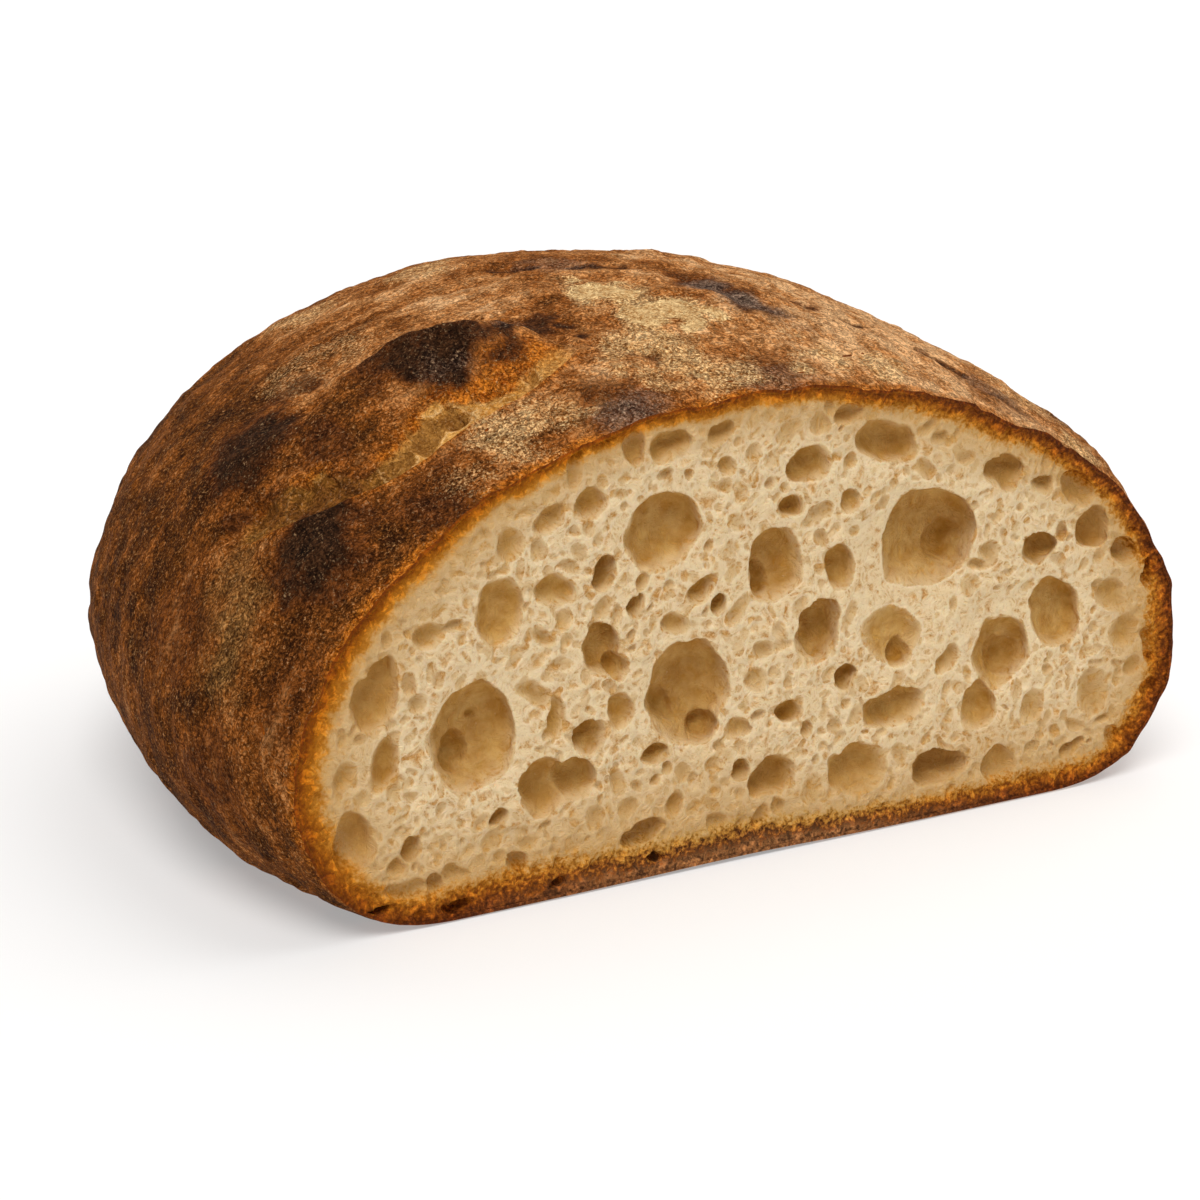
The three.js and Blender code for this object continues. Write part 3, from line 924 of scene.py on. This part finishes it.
gleam = add_node(tree, "Math", {"operation": "MULTIPLY_ADD", 2: 1.0}, {0: crisp_offset, 1: gleam_share})
strokes = add_node(
    tree, "MapRange", {"From Min": 1.0, "From Max": 2.0, "To Min": 1.25, "To Max": 0.7}, {"Value": web},
)
stroked = add_node(tree, "Math", {"operation": "MULTIPLY"}, {0: gleam, 1: strokes})
inwards = add_node(tree, "MapRange", {"From Min": 0.5, "From Max": 0.9}, {"Value": rim_place})
softened = add_node(tree, "Mix", {3: 1.0}, {0: inwards, 2: stroked})
toast = add_node(tree, "VectorMath", {"operation": "SCALE"}, {0: toast_mix.outputs[2], "Scale": softened})
in_rim = add_node(tree, "MapRange", {"From Min": 1.15, "From Max": 0.7}, {"Value": rim_place})
colour = add_node(tree, "Mix", {"data_type": "RGBA"}, {0: in_rim, 6: warmed.outputs[2], 7: toast})
bumps = add_node(tree, "Math", {"operation": "MULTIPLY_ADD", 1: 0.4}, {0: fine, 2: web})
bump = add_node(tree, "Bump", {"Strength": 0.5, "Distance": 0.0007}, {"Height": bumps})
crumb_shader = add_node(
    tree,
    "BsdfPrincipled",
    {
        "Roughness": 0.6,
        "IOR": 1.45,
        "Specular IOR Level": 0.06,
        "Subsurface Weight": 0.2,
        "Subsurface Scale": 0.003,
        "Subsurface Radius": (1.0, 0.6, 0.3),
    },
    {"Base Color": colour.outputs[2], "Normal": bump},
)
tree.links.new(crumb_shader.outputs[0], output.inputs["Surface"])

SHARP_ANGLE = 55
crust = new_piece("crust", crust_points, chain_faces(len(loops), COLUMNS), crust_material, SHARP_ANGLE)
set_values(crust, "outside_pits", np.clip(outside_pits, -PIT_BAND, PIT_BAND))
for name, values in crust_values.items():
    set_values(crust, name, np.clip(values, 0, STRONGEST_VALUE))
flow_attribute = crust.data.attributes.new("flow", "FLOAT_VECTOR", "POINT")
flow_attribute.data.foreach_set("vector", flow_places(crust_points).ravel().astype(np.float32))
cut_insets = np.zeros(len(crust_points))
first_cut_point = 1 + len(ROW_TURNS) * COLUMNS
for i, inset in enumerate(rim_insets + [CRUST_THICKNESS] * len(wall_depths)):
    start = first_cut_point + i * COLUMNS
    cut_insets[start:start + COLUMNS] = inset
rim_share, rim_dark = toasting(crust_points, cut_insets)
set_values(crust, "rim", rim_share)
set_values(crust, "char", rim_dark)
set_values(crust, "hollow", np.zeros(len(crust_points)))
FAR_FROM_HOLLOWS = 4.0
set_values(crust, "wall", np.full(len(crust_points), FAR_FROM_HOLLOWS))
crust.data.materials.append(crumb_material)
face_parts = np.zeros(len(crust.data.polygons), dtype=np.int32)
face_parts[len(ROW_TURNS) * COLUMNS:] = 1
crust.data.polygons.foreach_set("material_index", face_parts)
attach(crust, "root")
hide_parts("cut_loaf")


# Crumb. The soft inside of the loaf: wheat dough that its ferment has blown open and the knife
# has bared, with large eyes that run back into the loaf and ever finer pores between them. It
# is one closed slab that fills the recess behind the slice.
VOXEL = 0.5
CRUMB_INSET = CRUST_THICKNESS - 0.55
grid_low = np.array((-131.0, -2.0, 0.0))
grid_high = np.array((129.0, RECESS_DEPTH + 0.6, 119.0))
grid_axes = [np.arange(grid_low[i], grid_high[i], VOXEL) for i in range(3)]
grid_shape = tuple(len(axis) for axis in grid_axes)
gx, gy, gz = (axis.reshape([-1 if i == k else 1 for k in range(3)]) for i, axis in enumerate(grid_axes))


def grid_noise(axes, size, seed):
    """Smooth noise from -1 to 1 on a whole grid, with features of that size in millimetres."""
    blends = []
    for axis in axes:
        cell = (axis - axis[0]) / size
        base = np.floor(cell).astype(int)
        part = smoothed(cell - base)
        blend = np.zeros((len(axis), base[-1] + 2))
        blend[np.arange(len(axis)), base] = 1 - part
        blend[np.arange(len(axis)), base + 1] = part
        blends.append(blend.astype(np.float32))
    lattice = np.random.default_rng(seed).uniform(-1, 1, [b.shape[1] for b in blends]).astype(np.float32)
    return np.einsum("ia,jb,kc,abc->ijk", *blends, lattice, optimize=True)


# How far the crumb reaches in each direction, at each depth, from the crust's recess
polar = np.arctan2(gz - CORE[2], gx - CORE[0])
radius = np.hypot(gz - CORE[2], gx - CORE[0])
FULL_TURN = 2 * math.pi
level_depths = [0.0, 3.0, 6.0, 9.5, 13.0, 16.5, RECESS_DEPTH]
reach_levels = []
for depth in level_depths:
    loop = skin_points(CORE + np.array((0, depth, 0)), in_slice, CRUMB_INSET, crust_relief) - CORE
    angle = np.arctan2(loop[:, 2], loop[:, 0])
    order = angle.argsort()
    loop_reach = np.hypot(loop[:, 0], loop[:, 2])[order]
    reach_levels.append(np.interp(polar[:, 0, :], angle[order], loop_reach, period=FULL_TURN))
reach_levels = np.stack(reach_levels, axis=1)
level = np.clip(np.interp(grid_axes[1], level_depths, range(len(level_depths))), 0, len(level_depths) - 1)
lower = np.minimum(level.astype(int), len(level_depths) - 2)
share = (level - lower)[None, :, None]
reach = reach_levels[:, lower, :] * (1 - share) + reach_levels[:, lower + 1, :] * share
border = np.minimum((reach - radius) * 0.8, gz - CRUMB_INSET).astype(np.float32)

# The cut surface is a web of low ridges, so each noise is folded along its zero line
face_axes = [grid_axes[0], grid_axes[1][:1], grid_axes[2]]
front_dip = 0.05
for size, dip, seed in ((9, 0.4, 21), (4.5, 0.4, 22), (2.4, 0.3, 23)):
    front_dip = front_dip + dip * np.minimum(np.abs(grid_noise(face_axes, size, seed)) * 2, 1)
front_dip = np.minimum(front_dip, 0.08 + 0.25 * np.maximum(border[:, 3:4, :], 0))
solid = np.broadcast_to(gy - front_dip, grid_shape).astype(np.float32)
wall_distance = np.full(grid_shape, 9, dtype=np.float32)
depth_share = np.zeros(grid_shape, dtype=np.float32)

# How far the hollows' outlines wander, from broad bends to small kinks, each by its size
WANDERS = [(11, 1.7), (5, 0.9), (2.3, 0.35)]


def sideways_push(seeds):
    """How far places are pushed aside all over the grid, in millimetres."""
    return sum(push * grid_noise(grid_axes, size, seed) for (size, push), seed in zip(WANDERS, seeds))


warp_x = sideways_push((31, 32, 35))
warp_z = sideways_push((33, 34, 36))

# Large eyes: across, height, half width, half height, depth, lean in degrees and slant.
# The slant is how far an eye wanders across and upwards for each millimetre of depth.
EYES = [
    (45, 74, 14.5, 13.5, 11, -20, 0.5, 0.25),
    (52, 71, 8, 8, 13, 0, 0.2, 0.0),
    (-25, 45.5, 12.5, 12, 10, 0, 0.3, 0.2),
    (-28, 43, 5.5, 5.5, 12, 0, 0, 0),
    (-20, 37, 5, 4, 11, 0, 0.1, 0),
    (-33, 86.5, 10.5, 10, 8, 30, 0.35, 0.25),
    (-83, 43.5, 11, 13.5, 9, 0, 0.35, 0.25),
    (-85, 40, 5, 5.5, 12, 0, 0, 0),
    (-80, 47, 3.5, 3, 10.5, 0, 0, 0),
    (-1.5, 73.5, 8, 9, 8, 15, 0.25, 0.2),
    (-3, 70, 4.5, 4.5, 10.5, 0, 0, 0),
    (31, 100, 10, 5, 7, -12, 0.1, 0.3),
    (-109, 58, 6, 9.5, 6, -12, 0.2, 0.1),
    (-77, 73, 6.5, 7.5, 5, -25, 0.3, 0.3),
    (-50, 60, 5.5, 7.5, 7, 0, 0.2, 0.2),
    (-45, 55, 2.7, 3.5, 7, 0, 0, 0),
    (18, 70, 5, 6.5, 6, 15, 0.2, 0.1),
    (12, 55, 7, 7.5, 9, 0, 0.1, 0.1),
    (34, 51, 8, 7, 4, 0, 0.3, 0.2),
    (37, 46, 3, 3.5, 7, 0, 0, 0),
    (68, 41.5, 9, 9, 7, 0, 0.5, 0.25),
    (72, 40, 6, 6, 10, 0, 0, 0),
    (86, 49, 10, 8, 7, -50, 0.4, 0.25),
    (62, 28, 5.5, 6.5, 5, 15, 0.2, 0.2),
    (35, 32, 9.5, 5.5, 6, 0, 0.2, 0.3),
    (8, 98, 6, 4.5, 6, 0, 0, 0.3),
    (-65, 29, 7, 6.5, 7, 0, 0.1, 0.1),
    (-57, 29, 6, 6, 7, 0, 0.1, 0.1),
    (0, 20, 7.5, 5, 7, 0, 0.1, 0.1),
    (25, 17, 8, 5.5, 6, 0, 0.1, 0.2),
    (51, 13, 7.5, 5, 9, 0, 0.1, 0.2),
    (69, 11, 5, 5, 4, 0, 0.1, 0.2),
    (-115, 24, 5, 7.5, 6, -15, 0.1, 0.1),
    (-37, 12, 6.5, 3, 6, 0, 0, 0.1),
    (80, 67, 5.5, 4.5, 7, 0, 0.1, 0.2),
    (67, 88, 6, 4, 6, -25, 0.1, 0.3),
    (97, 69, 5.5, 5, 7, -25, 0.1, 0.2),
    (92, 80, 6, 3.5, 5, -35, 0.1, 0.3),
    (80, 84, 4.2, 2, 4, -25, 0, 0.3),
    (107, 63, 4.5, 3.5, 6, -30, 0, 0.1),
    (-50, 79, 4, 4, 7, 0, 0.1, 0.2),
    (-62, 76, 4.5, 4, 4, 0, 0.1, 0.2),
    (-53, 39, 4.5, 4, 6, 0, 0.1, 0.2),
    (3, 36, 4.5, 3, 5, 0, 0.1, 0.2),
    (21, 41, 3.3, 3, 6, 0, 0, 0.2),
    (-31, 107, 5.2, 3.6, 5, 12, 0.1, 0.3),
    (-18, 109, 4.7, 2.6, 4, 8, 0, 0.3),
    (19, 108, 5, 2.5, 4, 0, 0, 0.2),
    (-53, 96, 4.3, 3.6, 4, 20, 0.1, 0.3),
    (-64, 94, 3.9, 3.3, 3, 25, 0.1, 0.3),
    (-34, 32, 3.7, 2.8, 5, 0, 0, 0.1),
    (-106, 41, 3.8, 5.8, 4, -10, 0.1, 0.1),
    (-75, 88, 4, 4.5, 3, -30, 0.1, 0.2),
    (104, 51, 5.4, 3.8, 3, -35, 0.1, 0.1),
    (109, 41, 4, 5.3, 3, 0, 0.1, 0.1),
    (100, 26, 5, 5.6, 2.5, 0, 0.1, 0.1),
    (80, 25, 4.3, 3.9, 2.5, 0, 0.1, 0.1),
    (-45, 44, 3.6, 4.7, 3.5, 0, 0.1, 0.1),
    (-40, 70, 2.7, 2.4, 5, 0, 0, 0.2),
    (-17, 66, 2.3, 2.5, 5, 0, 0, 0.2),
    (-28, 62, 3.4, 3, 3, 0, 0, 0.2),
    (3, 87, 3.2, 2.7, 5, 0, 0, 0.2),
    (21, 88, 3.3, 2.8, 3, 0, 0, 0.2),
    (-10, 24, 2.6, 2.9, 5, 0, 0, 0.2),
    (-62, 45, 2.1, 4.9, 3.5, 0, 0, 0.1),
    (-95, 70, 3.8, 3.5, 3, -20, 0.1, 0.2),
    (-117, 40, 3.1, 3.6, 2.5, 0, 0.1, 0.1),
    (-77, 22, 2.4, 2.2, 4, 0, 0, 0.2),
    (-72, 11, 3.2, 2.8, 4, 0, 0, 0.2),
    (-94, 11, 3.1, 2.5, 4, 0, 0, 0.2),
    (-100, 20, 2.8, 2.9, 4, 0, 0, 0.2),
    (-104, 17, 2.3, 2.2, 3, 0, 0, 0.2),
]
# Blisters of the bottom and side crust that the knife has opened
CRUST_EYES = [
    (116, 55, 2.4, 4.6, 5, 8, 0, 0),
    (117, 36, 2.2, 5, 4, 8, 0, 0),
    (-60, 4.5, 2.5, 1.6, 4, 0, 0, 0),
    (-33, 4.5, 3.3, 1.6, 5, 0, 0, 0),
    (-108, 6.5, 3.5, 1.5, 5, 0, 0, 0),
    (-87, 4, 4.0, 1.5, 4, 0, 0, 0),
]
EYE_RIM = 0.35
# Wide shallow dips round the largest eyes: across, height, half width, half height, depth
DISHES = [
    (40, 70, 20, 19, 3.0),
    (67, 44, 14, 13, 2.0),
    (-24, 45, 16, 15, 1.6),
    (-81, 45, 14, 17, 1.8),
    (-33, 87, 14, 13, 1.4),
    (-2, 74, 11, 12, 1.4),
    (34, 51, 12, 10, 1.6),
    (85, 51, 13, 11, 1.6),
    (31, 100, 14, 8, 1.4),
]
DISH_RIM = 1.6


def carve(solid, place, radii, lean, slant, rim, lined=True):
    """Takes one rounded hollow out of the slab; the rim is rounded by that many millimetres."""
    # The part of the grid that the hollow can reach, with room for its wandering outline
    reach = max(radii[0], radii[2]) * 1.35 + 3 + abs(slant[0]) * radii[1]
    window = []
    for i, half in enumerate((reach, radii[1] * 1.3 + 3, reach)):
        start = int((place[i] - half - grid_low[i]) / VOXEL)
        stop = int((place[i] + half - grid_low[i]) / VOXEL) + 2
        window.append(slice(max(start, 0), max(min(stop, grid_shape[i]), 0)))
    window = tuple(window)
    if min(part.stop - part.start for part in window) < 1:
        return
    depth = gy[:, window[1]] - place[1]
    across = gx[window[0]] + warp_x[window] - place[0] - slant[0] * depth
    upward = gz[:, :, window[2]] + warp_z[window] - place[2] - slant[1] * depth
    turn = math.radians(lean)
    along = across * math.cos(turn) + upward * math.sin(turn)
    over = upward * math.cos(turn) - across * math.sin(turn)
    ratio = np.sqrt((along / radii[0]) ** 2 + (depth / radii[1]) ** 2 + (over / radii[2]) ** 2)
    steep = np.sqrt((along / radii[0] ** 2) ** 2 + (depth / radii[1] ** 2) ** 2 + (over / radii[2] ** 2) ** 2)
    distance = (ratio - 1) * ratio / np.maximum(steep, 1e-3)
    solid[window] = smooth_min(solid[window], distance, rim)
    if lined:
        nearest = distance < wall_distance[window]
        depth_share[window] = np.where(nearest, gy[:, window[1]] / radii[1], depth_share[window])
        wall_distance[window] = np.minimum(wall_distance[window], distance)


for x, z, half_width, half_height, depth in DISHES:
    carve(solid, (x, 0, z), (half_width, depth, half_height), 0, (0, 0), DISH_RIM, lined=False)
for x, z, half_width, half_height, depth, lean, drift, lift in EYES + CRUST_EYES:
    carve(solid, (x, 0.1 * depth, z), (half_width, 0.9 * depth, half_height), lean, (drift, lift), EYE_RIM)

# Finer pores fill the room between the eyes, at three sizes; darts thrown too near another pore
# or too close under the crust are dropped
PORE_SIZES = [(2.0, 3.6, 420), (1.1, 2.0, 1100), (0.6, 1.1, 2600)]
PORE_SPACING = [1.12, 1.0, 0.95]
PORE_COVER = 2.2
PORE_FIELD = ((-126, 124), (3, 116))
EYE_CLEARANCE = 1.02
dice = np.random.default_rng(5)
pores = np.array([(x, z, min(w, h) * EYE_CLEARANCE) for x, z, w, h, *_ in EYES + CRUST_EYES])
outer = skin[:COLUMNS]
outer_angle = slice_angle(outer)
outer_order = outer_angle.argsort()
outer_reach = np.hypot(outer[:, 2] - CORE[2], outer[:, 0] - CORE[0])[outer_order]
outer_angle = outer_angle[outer_order]
for (smallest, largest, tries), spacing in zip(PORE_SIZES, PORE_SPACING):
    for _ in range(tries):
        x, z = dice.uniform(*PORE_FIELD[0]), dice.uniform(*PORE_FIELD[1])
        size = smallest * (largest / smallest) ** dice.uniform() ** 1.5
        away = math.hypot(x - CORE[0], z - CORE[2])
        edge = np.interp(math.atan2(z - CORE[2], x - CORE[0]), outer_angle, outer_reach, period=FULL_TURN)
        under = min(edge - away, z)
        if under < PORE_COVER + size:
            continue
        gaps = np.hypot(pores[:, 0] - x, pores[:, 1] - z) - (pores[:, 2] + size) * spacing
        if gaps.min() < 0:
            continue
        pores = np.vstack([pores, (x, z, size)])
        stretch = dice.uniform(0.8, 1.45)
        lean = dice.uniform(0, 180)
        depth = size * dice.uniform(0.35, 0.9)
        dip = front_dip[int((x - grid_low[0]) / VOXEL), 0, int((z - grid_low[2]) / VOXEL)]
        shift = dip + depth * dice.uniform(-0.5, 0.2)
        radii = (size * stretch, depth, size / stretch)
        carve(solid, (x, shift, z), radii, lean, (0, 0.2), dice.uniform(0.3, 0.9))

solid += 0.12 * grid_noise(grid_axes, 2.2, 41) + 0.08 * grid_noise(grid_axes, 1.2, 42)


def box_blur(field, cells):
    """The mean of a grid over a cube of that many cells either way."""
    for axis in range(3):
        pad = [(0, 0)] * 3
        pad[axis] = (cells + 1, cells)
        total = np.cumsum(np.pad(field, pad, mode="edge"), axis=axis, dtype=np.float64)
        width = 2 * cells + 1
        count = total.shape[axis]
        upper = np.take(total, range(width, count), axis=axis)
        lower = np.take(total, range(0, count - width), axis=axis)
        field = (upper - lower) / width
    return field


# The share of crumb round each place tells deep hollows (much) from open places (little)
AROUND_CELLS = 6
filled = np.clip(solid / VOXEL + 0.5, 0, 1)
crumb_around = box_blur(filled, AROUND_CELLS)
solid = np.minimum(np.minimum(solid, border), np.minimum(gy - 0.02, RECESS_DEPTH - 0.1 - gy))


def grid_value(grid, points):
    """The value of a grid at points, blended between its cells."""
    cell = (points - grid_low) / VOXEL
    base = np.clip(np.floor(cell).astype(int), 0, np.array(grid_shape) - 2)
    return blended(grid, base, np.clip(cell - base, 0, 1))


field = openvdb.FloatGrid()
field.copyFromArray(-solid.astype(np.float64))
field_points, _, field_quads = field.convertToPolygons(0.0, 0.0)
crumb_points = field_points * VOXEL + grid_low
quads = field_quads.astype(np.int64)


def largest_part(points, quads):
    """Drops loose islands and sealed bubbles, and keeps the one part with the most points."""
    label = np.arange(len(points))
    ends = np.concatenate([quads[:, [0, 1]], quads[:, [1, 2]], quads[:, [2, 3]], quads[:, [3, 0]]])
    while True:
        before = label.copy()
        lowest = np.minimum(label[ends[:, 0]], label[ends[:, 1]])
        np.minimum.at(label, ends[:, 0], lowest)
        np.minimum.at(label, ends[:, 1], lowest)
        label = label[label]
        if np.array_equal(before, label):
            break
    main = np.bincount(label).argmax()
    kept = label == main
    number = np.cumsum(kept) - 1
    return points[kept], number[quads[kept[quads[:, 0]]]]


crumb_points, quads = largest_part(crumb_points, quads)
# The quads are turned round if they enclose a negative volume, so that they face outwards
a, b, c, d = (crumb_points[quads[:, i]] for i in range(4))
volume = np.einsum("ij,ij->i", a, np.cross(b, c)).sum() + np.einsum("ij,ij->i", a, np.cross(c, d)).sum()
if volume < 0:
    quads = quads[:, ::-1]

crumb = new_piece("crumb", crumb_points, quads.tolist(), crumb_material)
CRUMB_TRIANGLES = 190000
thinning = crumb.modifiers.new("thin", "DECIMATE")
thinning.ratio = min(1, CRUMB_TRIANGLES / (2 * len(quads)))
graph = bpy.context.evaluated_depsgraph_get()
thinned = bpy.data.meshes.new_from_object(crumb.evaluated_get(graph))
crumb.modifiers.clear()
crumb.data = thinned
places = np.empty(3 * len(thinned.vertices), dtype=np.float32)
thinned.vertices.foreach_get("co", places)
places = places.reshape(-1, 3) / MM - np.array((0, SLICE_Y, 0))
skin_reach = np.interp(slice_angle(places), outer_angle, outer_reach, period=FULL_TURN)
inset = skin_reach - np.hypot(places[:, 0] - CORE[0], places[:, 2] - CORE[2])
inset = np.minimum(inset * 0.9, places[:, 2])
rim_share, rim_dark = toasting(places, inset)
set_values(crumb, "rim", rim_share)
set_values(crumb, "char", rim_dark)
# A place is hollow with much crumb round it, and with its depth in an eye and behind the slice.
# The hollow value turns the crumb to its golden lining: partly the lining's own colour, partly
# painted shade in deep, enclosed places.
OPEN_SHARE, CLOSED_SHARE = 0.5, 0.85
around = np.clip((grid_value(crumb_around, places) - OPEN_SHARE) / (CLOSED_SHARE - OPEN_SHARE), 0, 1)
deepness = np.minimum(step_up(grid_value(depth_share, places), 0.0, 0.8), step_up(places[:, 1], 0.3, 3.6))
ENCLOSURE_SHADE_WEIGHT, DEEPNESS_WEIGHT = 0.25, 0.85
set_values(crumb, "hollow", np.clip(ENCLOSURE_SHADE_WEIGHT * around + DEEPNESS_WEIGHT * deepness, 0, 1))
set_values(crumb, "wall", np.clip(grid_value(wall_distance, places), -1, FAR_FROM_HOLLOWS))
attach(crumb, "root")
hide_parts("cut_loaf")
